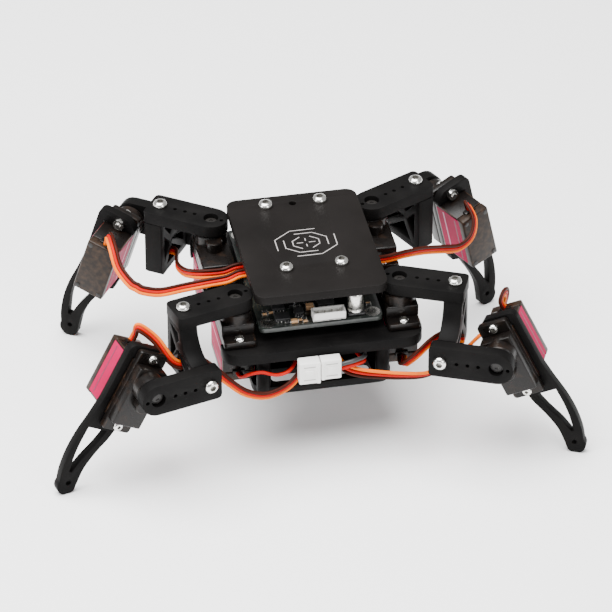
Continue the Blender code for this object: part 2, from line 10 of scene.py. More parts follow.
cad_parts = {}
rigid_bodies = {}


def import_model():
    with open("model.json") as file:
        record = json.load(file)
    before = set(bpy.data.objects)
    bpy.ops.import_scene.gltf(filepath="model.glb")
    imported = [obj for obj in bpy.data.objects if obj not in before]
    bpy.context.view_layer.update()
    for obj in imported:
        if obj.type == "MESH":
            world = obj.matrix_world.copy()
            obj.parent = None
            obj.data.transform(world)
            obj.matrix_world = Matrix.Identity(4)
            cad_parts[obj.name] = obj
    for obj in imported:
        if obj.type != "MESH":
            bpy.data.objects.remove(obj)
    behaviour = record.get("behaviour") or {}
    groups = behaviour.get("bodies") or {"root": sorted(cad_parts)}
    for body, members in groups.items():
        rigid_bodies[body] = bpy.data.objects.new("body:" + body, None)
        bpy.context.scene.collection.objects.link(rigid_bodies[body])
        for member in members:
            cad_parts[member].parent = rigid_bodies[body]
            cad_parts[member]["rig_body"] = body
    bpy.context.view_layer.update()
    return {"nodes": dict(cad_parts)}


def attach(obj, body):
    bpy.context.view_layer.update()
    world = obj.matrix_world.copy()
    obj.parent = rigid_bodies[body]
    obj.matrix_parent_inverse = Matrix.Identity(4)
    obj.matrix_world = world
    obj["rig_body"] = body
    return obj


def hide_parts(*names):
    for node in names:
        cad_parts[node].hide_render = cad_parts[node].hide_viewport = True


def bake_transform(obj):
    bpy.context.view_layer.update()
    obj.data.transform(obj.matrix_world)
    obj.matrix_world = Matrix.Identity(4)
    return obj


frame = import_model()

MM = 0.001

# ---- the CAD's driving sizes, in mm ---------------------------------------------------
STANCE = (Matrix.Translation((2.8705 * MM, -3.5365 * MM, 0)) @ Matrix.Rotation(math.radians(-0.59), 4, "Y")
          @ Matrix.Rotation(math.radians(2.97), 4, "X"))
LEGS = {                            # side in X, side in Y, yaw, lean of the foot plate
    "front_left": (-1, -1, 14.8, 30.0901),
    "front_right": (1, -1, 23.8, 27.1419),
    "back_left": (-1, 1, 34.1, 17.6102),
    "back_right": (1, 1, 25.6, 13.9116),
}
HIP_X = 29.5
HIP_Y = (-20.9, 27.4)
KNEE_U = 39.1
SCREW_U = 20.0
HALF_SPAN = 20.5
CASE_TO_FACE = 33.5
ARM_Z = 66.3
COVER_TOP = ARM_Z + 3.9
KNEE_Z = ARM_Z - HALF_SPAN
CASE_Z = ARM_Z - CASE_TO_FACE
BOARD_TOP = ARM_Z - 11.0
DECK_TOP = CASE_Z + 16.7
TRAY_TOP = CASE_Z - 0.3
PLATE_T = 3.2
POST_X = 9.9
POST_Y = (-14.6, 25.3)
UP = Vector((0, 0, 1))

# servo, in its own frame: origin on the output shaft at the case bottom
CASE = (-17.2, 5.8)
CASE_HALF = 5.9
CASE_H = 24.0
TABS = (-21.85, 10.45)
TAB = (17.0, 19.5)
TAB_HOLES = (-19.7, 8.3)


# ---- camera and light -----------------------------------------------------------------
def camera():
    target = STANCE @ (Vector((0, 0.15, ARM_Z - 23.97)) * MM)
    view = STANCE.to_3x3() @ Vector((0.1564, 0.8000, -0.5793)).normalized()
    data = bpy.data.cameras.new("camera")
    data.lens = 281.2
    data.sensor_width = 36
    data.clip_end = 20
    made = bpy.data.objects.new("camera", data)
    bpy.context.scene.collection.objects.link(made)
    made.location = target - view * 1.7147
    made.rotation_euler = view.to_track_quat("-Z", "Y").to_euler()
    bpy.context.scene.camera = made


def area_light(name, place, target, size, power):
    data = bpy.data.lights.new(name, "AREA")
    data.shape = "DISK"
    data.size = size
    data.energy = power
    made = bpy.data.objects.new(name, data)
    bpy.context.scene.collection.objects.link(made)
    made.location = place
    made.rotation_euler = (Vector(target) - Vector(place)).to_track_quat("-Z", "Y").to_euler()


def studio():
    mesh = bpy.data.meshes.new("floor")
    reach = 6
    corners = [(-reach, -reach, 0), (reach, -reach, 0), (reach, reach, 0), (-reach, reach, 0)]
    mesh.from_pydata(corners, [], [(0, 1, 2, 3)])
    floor = bpy.data.objects.new("floor", mesh)
    bpy.context.scene.collection.objects.link(floor)
    floor.location.z = -0.0002
    floor.data.materials.append(plain("floor_white", (0.96, 0.96, 0.96), 0.95))
    world = bpy.data.worlds.new("studio")
    bpy.context.scene.world = world
    world.use_nodes = True
    sky = world.node_tree.nodes["Background"]
    sky.inputs["Color"].default_value = (1, 1, 1, 1)
    sky.inputs["Strength"].default_value = 0.52
    area_light("key", (-0.25, -0.1, 1.1), (0, 0, 0.02), 1.3, 56)
    area_light("front", (0.35, -0.8, 0.45), (0, 0, 0.03), 0.35, 3.5)
    area_light("side", (-0.8, -0.2, 0.35), (0, 0, 0.03), 0.3, 2.5)


# ---- materials ------------------------------------------------------------------------
def plain(name, colour, roughness, metallic=0.0):
    made = bpy.data.materials.new(name)
    made.use_nodes = True
    shader = made.node_tree.nodes["Principled BSDF"]
    shader.inputs["Base Color"].default_value = (*colour, 1)
    shader.inputs["Roughness"].default_value = roughness
    shader.inputs["Metallic"].default_value = metallic
    return made


def textured(name, dark, light, roughness, spread=0.08, patch=90, grain=2600, bump=0.12,
             metallic=0.0, coat=0.0, stretch=(1, 1, 1), contrast=(0.35, 0.68), specular=0.5):
    """Two shades in soft patches, with fine grain in the gloss and the surface."""
    made = plain(name, dark, roughness, metallic)
    tree = made.node_tree
    shader = tree.nodes["Principled BSDF"]
    shader.inputs["Coat Weight"].default_value = coat
    shader.inputs["Specular IOR Level"].default_value = specular
    shader.inputs["Coat Roughness"].default_value = 0.12
    place = tree.nodes.new("ShaderNodeTexCoord")
    turn = tree.nodes.new("ShaderNodeMapping")
    turn.inputs["Scale"].default_value = stretch
    tree.links.new(place.outputs["Object"], turn.inputs["Vector"])
    broad = noise(tree, turn, patch, 3)
    fine = noise(tree, turn, grain, 2)
    ramp = tree.nodes.new("ShaderNodeValToRGB")
    ramp.color_ramp.elements[0].position = contrast[0]
    ramp.color_ramp.elements[0].color = (*dark, 1)
    ramp.color_ramp.elements[1].position = contrast[1]
    ramp.color_ramp.elements[1].color = (*light, 1)
    tree.links.new(broad.outputs["Fac"], ramp.inputs["Fac"])
    tree.links.new(ramp.outputs["Color"], shader.inputs["Base Color"])
    gloss = tree.nodes.new("ShaderNodeMapRange")
    gloss.inputs["To Min"].default_value = roughness - spread
    gloss.inputs["To Max"].default_value = roughness + spread
    tree.links.new(fine.outputs["Fac"], gloss.inputs["Value"])
    tree.links.new(gloss.outputs["Result"], shader.inputs["Roughness"])
    relief = tree.nodes.new("ShaderNodeBump")
    relief.inputs["Strength"].default_value = bump
    relief.inputs["Distance"].default_value = 0.0002
    tree.links.new(fine.outputs["Fac"], relief.inputs["Height"])
    tree.links.new(relief.outputs["Normal"], shader.inputs["Normal"])
    return made


def noise(tree, source, scale, detail):
    made = tree.nodes.new("ShaderNodeTexNoise")
    made.inputs["Scale"].default_value = scale
    made.inputs["Detail"].default_value = detail
    tree.links.new(source.outputs["Vector"], made.inputs["Vector"])
    return made


def plastics():
    """Moulded pieces, connectors and small dark parts."""
    return {
        "frame": textured("frame_plastic", (0.0028, 0.0026, 0.0026), (0.0054, 0.005, 0.0048), 0.5,
                          bump=0.16, specular=0.05),
        "cover": textured("cover_plastic", (0.0048, 0.0041, 0.0038), (0.0082, 0.0069, 0.0064), 0.48,
                          bump=0.1, patch=40, specular=0.07),
        "case": textured("servo_case", (0.009, 0.0052, 0.0036), (0.062, 0.032, 0.016), 0.32, patch=420,
                         grain=900, bump=0.03, contrast=(0.42, 0.85), specular=0.18),
        "cap": textured("servo_cap", (0.009, 0.0056, 0.004), (0.042, 0.024, 0.0135), 0.36, patch=420,
                        grain=900, bump=0.03, contrast=(0.4, 0.85), specular=0.16),
        "gear": textured("servo_gear_box", (0.0042, 0.0032, 0.0028), (0.020, 0.0105, 0.006), 0.3,
                         patch=210, grain=900, bump=0.03, contrast=(0.52, 0.9), specular=0.2),
        # the case and horn screws' own near-black, also used as painted shade on the spline's top face in
        # the bore
        "dark_screw_bore_shade": textured("shaft_dark", (0.006, 0.0055, 0.005), (0.014, 0.012, 0.011), 0.4, specular=0.3),
        "white": textured("connector_white", (0.74, 0.73, 0.70), (0.82, 0.81, 0.79), 0.38, bump=0.04),
        # painted shade: the grey that stands for the connector's grooves, laid on flat bands
        "groove_shade": textured("connector_groove", (0.30, 0.29, 0.27), (0.38, 0.37, 0.35), 0.5),
        "dark": textured("dark_plastic", (0.010, 0.010, 0.011), (0.02, 0.02, 0.021), 0.42),
        "chip": textured("chip_epoxy", (0.012, 0.012, 0.013), (0.03, 0.03, 0.031), 0.5),
        "tan": textured("part_tan", (0.42, 0.24, 0.12), (0.55, 0.34, 0.18), 0.45),
        "board": textured("board_mask", (0.008, 0.010, 0.009), (0.020, 0.024, 0.021), 0.3, patch=700,
                          coat=0.3),
        "wrap": textured("battery_wrap", (0.012, 0.016, 0.03), (0.02, 0.026, 0.045), 0.3, coat=0.3),
    }


def prints():
    """Servo labels and the mark on the cover."""
    return {
        "pink": textured("label_pink", (0.30, 0.0, 0.042), (0.37, 0.0, 0.058), 0.5, bump=0.02,
                         specular=0.05),
        "print": textured("label_print", (0.50, 0.20, 0.30), (0.58, 0.26, 0.36), 0.5, bump=0.02,
                          specular=0.2),
        "ink": textured("label_ink", (0.05, 0.01, 0.025), (0.08, 0.015, 0.04), 0.45, bump=0.02),
        "line": textured("engraved_line", (0.27, 0.25, 0.245), (0.36, 0.34, 0.33), 0.6, bump=0.05),
    }


def metals():
    """Screws, shafts and solder."""
    return {
        "screw": textured("screw_steel", (0.66, 0.65, 0.62), (0.84, 0.83, 0.8), 0.2, metallic=1.0,
                          patch=900, bump=0.05),
        # painted shade: darker steel for the inside of the screws' recesses
        "socket": textured("screw_recess", (0.22, 0.215, 0.2), (0.36, 0.35, 0.33), 0.35, metallic=1.0),
        "brass": textured("shaft_brass", (0.12, 0.08, 0.03), (0.20, 0.14, 0.06), 0.4, metallic=1.0),
        "gold": textured("gold_pad", (0.62, 0.44, 0.2), (0.8, 0.6, 0.32), 0.3, metallic=1.0),
        "tin": textured("tin_solder", (0.6, 0.59, 0.56), (0.82, 0.8, 0.76), 0.28, metallic=1.0,
                        patch=1200),
    }


def insulation():
    """The wires' colours."""
    return {
        "yellow": textured("wire_yellow", (0.62, 0.105, 0.0), (0.72, 0.145, 0.0), 0.46, bump=0.05,
                           specular=0.1),
        "red": textured("wire_red", (0.33, 0.0018, 0.0), (0.42, 0.0035, 0.0), 0.46, bump=0.05,
                        specular=0.1),
        "brown": textured("wire_brown", (0.026, 0.0035, 0.0012), (0.040, 0.0055, 0.002), 0.46,
                          bump=0.05, specular=0.1),
        "black": textured("wire_black", (0.012, 0.012, 0.012), (0.025, 0.024, 0.024), 0.4, bump=0.05),
    }


# ---- making pieces --------------------------------------------------------------------
def add(name, mesh, body, finish_names, matrix=None, replaces=()):
    made = bpy.data.objects.new(name, mesh)
    bpy.context.scene.collection.objects.link(made)
    if not mesh.materials:
        for key in finish_names:
            mesh.materials.append(FINISH[key])
    made.matrix_world = STANCE @ (matrix or Matrix.Identity(4))
    if body is not None:
        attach(made, body)
    if replaces:
        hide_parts(*replaces)
    return made


def smooth(mesh, angle=35):
    mesh.polygons.foreach_set("use_smooth", [True] * len(mesh.polygons))
    mesh.set_sharp_from_angle(angle=math.radians(angle))


def to_mesh(work, name, scale=MM, angle=35):
    bmesh.ops.scale(work, vec=(scale, scale, scale), verts=work.verts)
    bmesh.ops.recalc_face_normals(work, faces=work.faces)
    mesh = bpy.data.meshes.new(name)
    work.to_mesh(mesh)
    work.free()
    smooth(mesh, angle)
    return mesh


def paint(faces, index):
    for face in faces:
        face.material_index = index


def box(work, low, high, index=0, round_by=0.0, steps=2):
    """A box with rounded edges, in mm."""
    made = bmesh.ops.create_cube(work, size=1)["verts"]
    size = [high[i] - low[i] for i in range(3)]
    bmesh.ops.scale(work, vec=size, verts=made)
    bmesh.ops.translate(work, vec=[(high[i] + low[i]) / 2 for i in range(3)], verts=made)
    faces = {f for v in made for f in v.link_faces}
    paint(faces, index)
    if round_by:
        edges = {e for v in made for e in v.link_edges}
        bmesh.ops.bevel(work, geom=list(edges), offset=round_by, segments=steps, profile=0.5,
                        affect="EDGES", clamp_overlap=True, material=-1)


def turned(work, profile, place=(0, 0), sides=24, index=0, hexed=None):
    """A turned solid about Z from (radius, height) rings; hexed gives some rings a few flat sides."""
    rings = []
    for radius, height in profile:
        ring = []
        for i in range(sides):
            turn = 2 * math.pi * i / sides
            reach = radius
            if hexed and (radius, height) in hexed:
                fold = 2 * math.pi / hexed[(radius, height)]
                reach = radius * math.cos(fold / 2) / math.cos((turn % fold) - fold / 2)
            x = place[0] + reach * math.cos(turn)
            y = place[1] + reach * math.sin(turn)
            ring.append(work.verts.new((x, y, height)))
        rings.append(ring)
    for a, b in zip(rings, rings[1:]):
        for i in range(sides):
            j = (i + 1) % sides
            face = work.faces.new((a[i], a[j], b[j], b[i]))
            face.material_index = index
    for ring in (rings[0], rings[-1]):
        face = work.faces.new(ring)
        face.material_index = index
    return rings


def plate(work, loops, low, high, index=0, edge=0.3, steps=2):
    """A flat plate in XY with holes and rounded edges, from a filled curve."""
    data = bpy.data.curves.new("outline", "CURVE")
    data.dimensions = "2D"
    data.fill_mode = "BOTH"
    data.extrude = (high - low) / 2 - edge
    data.bevel_depth = edge
    data.bevel_resolution = steps - 1
    data.offset = -edge
    for loop in loops:
        spline = data.splines.new("POLY")
        spline.points.add(len(loop) - 1)
        for point, (x, y) in zip(spline.points, loop):
            point.co = (x, y, 0, 1)
        spline.use_cyclic_u = True
    holder = bpy.data.objects.new("outline", data)
    bpy.context.scene.collection.objects.link(holder)
    graph = bpy.context.evaluated_depsgraph_get()
    mesh = bpy.data.meshes.new_from_object(holder.evaluated_get(graph))
    bpy.data.objects.remove(holder, do_unlink=True)
    mesh.transform(Matrix.Translation((0, 0, (low + high) / 2)))
    start = len(work.faces)
    work.from_mesh(mesh)
    work.faces.ensure_lookup_table()
    for face in work.faces[start:]:
        face.material_index = index
    bpy.data.meshes.remove(mesh)


def circle(x, y, radius, count=20):
    turn = 2 * math.pi / count
    return [(x + radius * math.cos(i * turn), y + radius * math.sin(i * turn)) for i in range(count)]


def rounded_outline(x0, y0, x1, y1, radius, count=5):
    points = []
    for cx, cy, first in ((x1 - radius, y1 - radius, 0), (x0 + radius, y1 - radius, 90),
                          (x0 + radius, y0 + radius, 180), (x1 - radius, y0 + radius, 270)):
        for i in range(count + 1):
            turn = math.radians(first + 90 * i / count)
            points.append((cx + radius * math.cos(turn), cy + radius * math.sin(turn)))
    return points


def frame_matrix(x_axis, z_axis, place):
    x_axis = Vector(x_axis).normalized()
    z_axis = Vector(z_axis).normalized()
    turn = Matrix((x_axis, z_axis.cross(x_axis), z_axis)).transposed()
    return Matrix.Translation(Vector(place) * MM) @ turn.to_4x4()


def softened(node, finish, width=0.35, steps=2):
    """The CAD node's own shape with rounded edges, in its place."""
    source = frame["nodes"][node]
    mesh = source.data.copy()
    mesh.materials.clear()
    work = bmesh.new()
    work.from_mesh(mesh)
    bmesh.ops.remove_doubles(work, verts=work.verts, dist=0.000004)
    bmesh.ops.dissolve_limit(work, angle_limit=math.radians(1), verts=work.verts, edges=work.edges)
    sharp = math.radians(50)
    edges = [e for e in work.edges if len(e.link_faces) == 2 and e.calc_face_angle() > sharp]
    bmesh.ops.bevel(work, geom=edges, offset=width * MM, segments=steps, profile=0.5, affect="EDGES",
                    clamp_overlap=True, material=-1)
    work.to_mesh(mesh)
    work.free()
    smooth(mesh, 40)
    return add(f"{node}_skin", mesh, source["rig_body"], [finish], STANCE.inverted(), [node])


class Leg:
    """Axes of one leg: u runs outwards, s to the side that carries the knee arm. Lengths in mm."""

    def __init__(self, name):
        side_x, side_y, yaw, lean = LEGS[name]
        yaw = math.radians(yaw)
        lean = math.radians(lean)
        self.name = name
        self.side_y = side_y
        self.hand = side_x * side_y
        self.u = Vector((side_x * math.cos(yaw), side_y * math.sin(yaw), 0))
        self.s = Vector((-side_x * math.sin(yaw), side_y * math.cos(yaw), 0))
        self.hip = Vector((side_x * HIP_X, HIP_Y[0] if side_y < 0 else HIP_Y[1], 0))
        self.down_leg = self.u * math.sin(lean) - UP * math.cos(lean)
        self.out_leg = self.u * math.cos(lean) + UP * math.sin(lean)

    def at(self, u, s, z):
        return self.hip + self.u * u + self.s * s + UP * z

    def at_knee(self, n, w, s):
        return self.at(KNEE_U, s, KNEE_Z) + self.out_leg * n + self.down_leg * w

    def hip_servo(self):
        return frame_matrix((0, self.side_y, 0), UP, self.at(0, 0, CASE_Z))

    def knee_servo(self):
        return frame_matrix(-self.down_leg, self.s, self.at_knee(0, 0, HALF_SPAN - CASE_TO_FACE))


# ---- leads ----------------------------------------------------------------------------
PASS = (3.4, -21.3)


def on_chassis(points):
    return [Vector((x, y, ARM_Z + z)) for x, y, z in points]


def on_leg(leg, points):
    return [leg.at(u, s, ARM_Z + z) for u, s, z in points]


def servo_exit(leg):
    return [leg.at_knee(0, w, -9.5) for w in (-5.6, -6.2, -9.1)]


def smooth_run(points, steps=8):
    ends = [points[0]] + list(points) + [points[-1]]
    made = []
    for i in range(1, len(ends) - 2):
        a, b, c, d = ends[i - 1:i + 3]
        for k in range(steps):
            t = k / steps
            made.append(0.5 * (2 * b + (c - a) * t + (2 * a - 5 * b + 4 * c - d) * t * t
                               + (3 * b - a - 3 * c + d) * t ** 3))
    made.append(points[-1].copy())
    return made


def ribbon(name, points, wires, across, radius=0.62, spread=0.0):
    """Round wires side by side; the ribbon's width starts along the given direction."""
    run = smooth_run(points)
    work = bmesh.new()
    wide = Vector(across)
    frames = []
    for i, place in enumerate(run):
        ahead = (run[min(i + 1, len(run) - 1)] - run[max(i - 1, 0)]).normalized()
        wide = (wide - ahead * wide.dot(ahead)).normalized()
        frames.append((place, wide.copy(), ahead.cross(wide)))
    sides = 10
    count = len(wires)
    for k in range(count):
        rings = []
        for i, (place, a, b) in enumerate(frames):
            along = i / (len(frames) - 1)
            fan = spread * math.sin(math.pi * along) * (k - (count - 1) / 2)
            centre = place + a * (k - (count - 1) / 2) * 2 * radius * 0.97 + b * fan * 0.6 + a * fan
            rings.append([work.verts.new(centre + (a * math.cos(t) + b * math.sin(t)) * radius)
                          for t in (2 * math.pi * j / sides for j in range(sides))])
        for p, q in zip(rings, rings[1:]):
            for j in range(sides):
                face = work.faces.new((p[j], p[(j + 1) % sides], q[(j + 1) % sides], q[j]))
                face.material_index = k
        for ring in (rings[0], rings[-1]):
            work.faces.new(ring).material_index = k
    mesh = to_mesh(work, name, angle=60)
    mesh.transform(STANCE)
    for key in wires:
        mesh.materials.append(FINISH[key])
    made = bpy.data.objects.new(name, mesh)
    bpy.context.scene.collection.objects.link(made)
    return made, frames[-1][1]


THREE = ("yellow", "red", "brown")


def knee_lead(leg, points, across):
    """From the knee servo to the link, along a curved run; the mesh is left attached to no body."""
    made, wide = ribbon(f"knee_ribbon_{leg.name}", points, THREE, across)
    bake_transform(made)
    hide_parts(f"knee_lead_{leg.name}")
    return wide


def hip_lead(leg, kind, points, across, wires=THREE, spread=0.0):
    """From the link to the chassis, along a curved run; the mesh is left attached to no body."""
    made, _ = ribbon(f"{kind}_ribbon_{leg.name}", points, wires, across, spread=spread)
    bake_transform(made)
    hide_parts(f"{kind}_lead_{leg.name}")


def leads():
    leg = Leg("front_left")
    bend = [(33.5, -8.5, -9.6), (29.0, -4.2, -13.6), (26.0, 1.2, -19.4), (23.2, *PASS), (20.3, *PASS)]
    knee_lead(leg, servo_exit(leg) + on_leg(leg, bend), leg.s)
    start = on_leg(leg, [(20.3, *PASS), (16.2, *PASS)])
    run = [(-39.5, -31.6, -23.6), (-34.5, -35.0, -27.6), (-28.5, -37.0, -31.8), (-21.5, -37.4, -33.6),
           (-14.5, -36.6, -31.8), (-9.4, -34.0, -28.9), (-6.2, -30.0, -26.4), (-4.4, -24.0, -24.6),
           (-4.0, -17.0, -24.2), (-4.0, -12.5, -23.7), (-4.0, -8.6, -21.2), (-4.0, -7.4, -17.4),
           (-4.0, -7.4, -12.8)]
    hip_lead(leg, "hip", start + on_chassis(run), UP)
    own = [(-29.5, -27.0, -30.0), (-28.8, -31.0, -29.0), (-26.4, -34.2, -25.8), (-22.6, -35.4, -24.8),
           (-17.8, -35.6, -26.4), (-13.2, -34.4, -26.2), (-10.0, -30.5, -24.8), (-8.6, -24.0, -24.2),
           (-8.4, -17.0, -24.0), (-8.4, -12.5, -23.7), (-8.4, -8.6, -21.2), (-8.4, -7.4, -17.4),
           (-8.4, -7.4, -12.8)]
    made, _ = ribbon("servo_ribbon_front_left", on_chassis(own), ("red", "brown"), (1, 0, 0))
    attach(made, "chassis")
    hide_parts("servo_lead_front_left")

    leg = Leg("front_right")
    bend = [(35.3, -11.4, -10.3), (35.9, -14.7, -11.8), (35.4, -16.3, -16.8), (33.4, -15.6, -22.6),
            (30.2, -11.6, -26.2), (26.4, -5.2, -28.0), (22.6, 1.4, -30.0), (18.4, 7.6, -31.7)]
    wide = knee_lead(leg, servo_exit(leg) + on_leg(leg, bend), leg.s)
    start = on_leg(leg, [(18.4, 7.6, -31.7)])
    run = [(35.5, -38.0, -32.0), (27.5, -38.2, -31.2), (18.5, -37.7, -29.8), (12.0, -36.6, -28.8),
           (7.6, -34.0, -28.0), (5.2, -30.0, -26.2), (4.2, -24.0, -24.6), (4.0, -17.0, -24.2),
           (4.0, -12.5, -23.7), (4.0, -8.6, -21.2), (4.0, -7.4, -17.4), (4.0, -7.4, -12.8)]
    hip_lead(leg, "hip", start + on_chassis(run), wide, spread=0.9)
    start = on_leg(leg, [(24.6, *PASS), (20.4, *PASS), (16.2, *PASS)])
    own = [(38.2, -33.4, -21.6), (33.2, -35.4, -24.8), (29.0, -34.4, -29.0), (28.8, -31.0, -30.6),
           (29.5, -27.0, -30.6)]
    hip_lead(leg, "servo", start + on_chassis(own), UP)

    leg = Leg("back_left")
    bend = [(-64.6, 33.0, -12.6), (-63.6, 26.4, -16.8), (-60.6, 19.6, -19.2), (-58.65, 17.05, -19.42)]
    wide = knee_lead(leg, servo_exit(leg) + on_chassis(bend), leg.s)
    run = [(-58.65, 17.05, -19.42), (-56.6, 14.6, -19.5), (-51.0, 10.2, -18.0), (-43.0, 6.2, -14.2),
           (-35.0, 4.5, -12.2), (-28.0, 4.0, -11.2), (-24.0, 4.0, -9.6), (-21.2, 4.0, -9.3)]
    hip_lead(leg, "hip", on_chassis(run), wide)
    start = on_leg(leg, [(26.0, *PASS), (20.4, *PASS), (15.6, *PASS)])
    own = [(-41.8, 30.0, -20.4), (-41.2, 20.0, -16.8), (-39.2, 12.4, -13.0), (-34.8, 8.6, -11.2),
           (-28.6, 8.0, -10.9), (-24.4, 8.0, -9.6), (-21.2, 8.0, -9.3)]
    hip_lead(leg, "servo", start + on_chassis(own), UP)

    leg = Leg("back_right")
    bend = [(68.4, 29.6, -15.0), (66.4, 25.4, -19.6), (61.0, 22.0, -21.4), (54.15, 18.3, -18.72)]
    wide = knee_lead(leg, servo_exit(leg) + on_chassis(bend), leg.s)
    run = [(54.15, 18.3, -18.72), (46.3, 13.6, -15.0), (38.2, 8.6, -12.0), (30.0, 6.0, -11.4),
           (24.6, 4.5, -10.0), (21.2, 4.5, -9.3)]
    hip_lead(leg, "hip", on_chassis(run), wide)

    run = [(5.2, -37.8, -24.2), (9.6, -37.5, -23.6), (13.6, -35.2, -24.2), (14.8, -31.0, -26.0),
           (13.4, -25.0, -27.0), (11.8, -16.0, -27.4), (11.0, -9.5, -27.2), (11.0, -5.7, -27.2)]
    made, _ = ribbon("battery_pair", on_chassis(run), ("red", "black"), UP, radius=0.85)
    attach(made, "chassis")
    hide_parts("battery_lead")


# ---- screws ---------------------------------------------------------------------------
def screw_mesh(name, radius, height, socket, sides_of_socket):
    """A domed head with a recess painted darker as shade; its seat is z = 0."""
    work = bmesh.new()
    deep = height * 0.45
    profile = [(radius * 0.96, 0), (radius, height * 0.18), (radius * 0.97, height * 0.45),
               (radius * 0.82, height * 0.82), (radius * 0.6, height * 0.97), (socket * 1.12, height)]
    rings = turned(work, profile + [(socket, height * 0.99), (socket * 0.97, deep)], sides=24,
                   hexed={(socket, height * 0.99): sides_of_socket, (socket * 0.97, deep): sides_of_socket})
    # painted shade: the faces round the recess floor take the darker steel
    for ring in rings[-1:]:
        for face in {f for v in ring for f in v.link_faces}:
            face.material_index = 1
    return to_mesh(work, name, angle=50)


def place_screw(label, mesh, body, place, axis, lean=(1, 0, 0)):
    side = Vector(lean)
    axis = Vector(axis).normalized()
    side = (side - axis * side.dot(axis)).normalized()
    add(label, mesh, body, ["screw", "socket"], frame_matrix(side, axis, place))


def nut_mesh():
    work = bmesh.new()
    turned(work, [(1.15, 0), (2.1, 0), (2.3, 0.25), (2.3, 1.35), (2.05, 1.6), (1.15, 1.6)], sides=24,
           hexed={(2.3, 0.25): 6, (2.3, 1.35): 6})
    turned(work, [(1.0, 0.2), (1.0, 1.9), (0.8, 2.1)], sides=16, index=0)
    return to_mesh(work, "nut", angle=40)


def screws():
    big = screw_mesh("screw_m3", 2.6, 1.9, 1.25, 6)
    small = screw_mesh("screw_m2", 1.85, 1.3, 0.85, 4)
    nut = nut_mesh()
    for i, (x, y) in enumerate((x, y) for x in (-POST_X, POST_X) for y in POST_Y):
        place_screw(f"cover_screw_{i}", big, "chassis", Vector((x, y, COVER_TOP)), UP,
                    (1, 0.3 * i, 0))
    for name in LEGS:
        leg = Leg(name)
        link = f"link_{name}"
        foot = f"foot_{name}"
        place_screw(f"hip_arm_screw_{name}", big, link, leg.at(SCREW_U, 0, ARM_Z), UP, leg.s)
        place_screw(f"knee_arm_screw_{name}", big, link, leg.at(KNEE_U - SCREW_U, HALF_SPAN, KNEE_Z),
                    leg.s, leg.u)
        for i, x in enumerate(TAB_HOLES):
            place_screw(f"hip_tab_screw_{i}_{name}", small, "chassis",
                        leg.at(0, 0, CASE_Z + TAB[1]) + Vector((0, leg.side_y * x, 0)), UP, (1, 0.4 * i, 0))
            seat = leg.at_knee(0, -x, HALF_SPAN - CASE_TO_FACE + TAB[1])
            place_screw(f"knee_tab_screw_{i}_{name}", small, foot, seat, leg.s, leg.u)
            back = leg.at_knee(0, -x, HALF_SPAN - CASE_TO_FACE + TAB[0] - 0.3 - PLATE_T)
            place_screw(f"knee_tab_nut_{i}_{name}", nut, foot, back, -leg.s, leg.u + UP * 0.2 * i)


# ---- servos ---------------------------------------------------------------------------
def servo_mesh():
    work = bmesh.new()
    low, high = CASE
    half = CASE_HALF
    box(work, (low, -half, 0), (high, half, 3.7), 1, 0.6, 3)
    box(work, (low + 0.15, -half + 0.12, 3.8), (high - 0.15, half - 0.12, TAB[0]), 0, 0.35)
    tabs = [rounded_outline(TABS[0], -half + 0.1, TABS[1], half - 0.1, 1.2)]
    tabs += [circle(x, 0, 1.1, 16) for x in TAB_HOLES]
    plate(work, tabs, TAB[0], TAB[1], 2, 0.3)
    box(work, (low, -half, TAB[1] - 0.2), (high, half, CASE_H), 2, 0.55, 3)
    tower = [(5.8, CASE_H - 0.5), (5.8, CASE_H + 3.6), (5.45, CASE_H + 4.0), (3.3, CASE_H + 4.0)]
    turned(work, tower, sides=40, index=2)
    idler = [(2.9, CASE_H - 0.5), (2.9, CASE_H + 3.5), (2.6, CASE_H + 3.85)]
    turned(work, idler, (-6.4, 0), 28, 2)
    for x in (low + 1.6, high - 1.6):
        for y in (-half + 1.5, half - 1.5):
            turned(work, [(0.95, 0.3), (0.95, -0.12), (0.7, -0.2)], (x, y), 14, 3)
    box(work, (high - 0.4, -2.3, 2.3), (high + 0.5, 2.3, 4.6), 2, 0.3)
    return to_mesh(work, "servo")


def label_patch(work, way, corners, lift, index):
    """A thin patch on one wide side of the case: corners are x0, z0, x1, z1."""
    x0, z0, x1, z1 = corners
    face = CASE_HALF + 0.02
    a, b = sorted((way * (face - 0.1), way * (face + lift)))
    box(work, (x0, a, z0), (x1, b, z1), index)


def label_mesh():
    """A plain printed band on both wide sides, with two plain stripes."""
    work = bmesh.new()
    low = CASE[0] + 1.0
    high = CASE[1] - 1.0
    for way in (-1, 1):
        label_patch(work, way, (low, 2.8, high, 15.8), 0.02, 0)
        label_patch(work, way, (low + 0.8, 11.6, high - 0.8, 12.4), 0.04, 1)
        label_patch(work, way, (low + 0.8, 5.2, high - 0.8, 5.7), 0.04, 2)
    return to_mesh(work, "label")


def servos():
    case = servo_mesh()
    label = label_mesh()
    for name in LEGS:
        leg = Leg(name)
        places = (("hip", leg.hip_servo(), "chassis"), ("knee", leg.knee_servo(), f"foot_{name}"))
        for kind, matrix, body in places:
            add(f"{kind}_servo_case_{name}", case, body, ["case", "cap", "gear", "dark_screw_bore_shade"],
                matrix, [f"{kind}_servo_{name}"])
            add(f"{kind}_servo_label_{name}", label, body, ["pink", "print", "ink"], matrix)
        shafts(leg)


def spline_ring(work, height, teeth=21):
    """A ring of points on a toothed outline."""
    ring = []
    for i in range(2 * teeth):
        radius = 2.3 if i % 2 else 2.12
        turn = math.pi * i / teeth
        ring.append(work.verts.new((radius * math.cos(turn), radius * math.sin(turn), height)))
    return ring


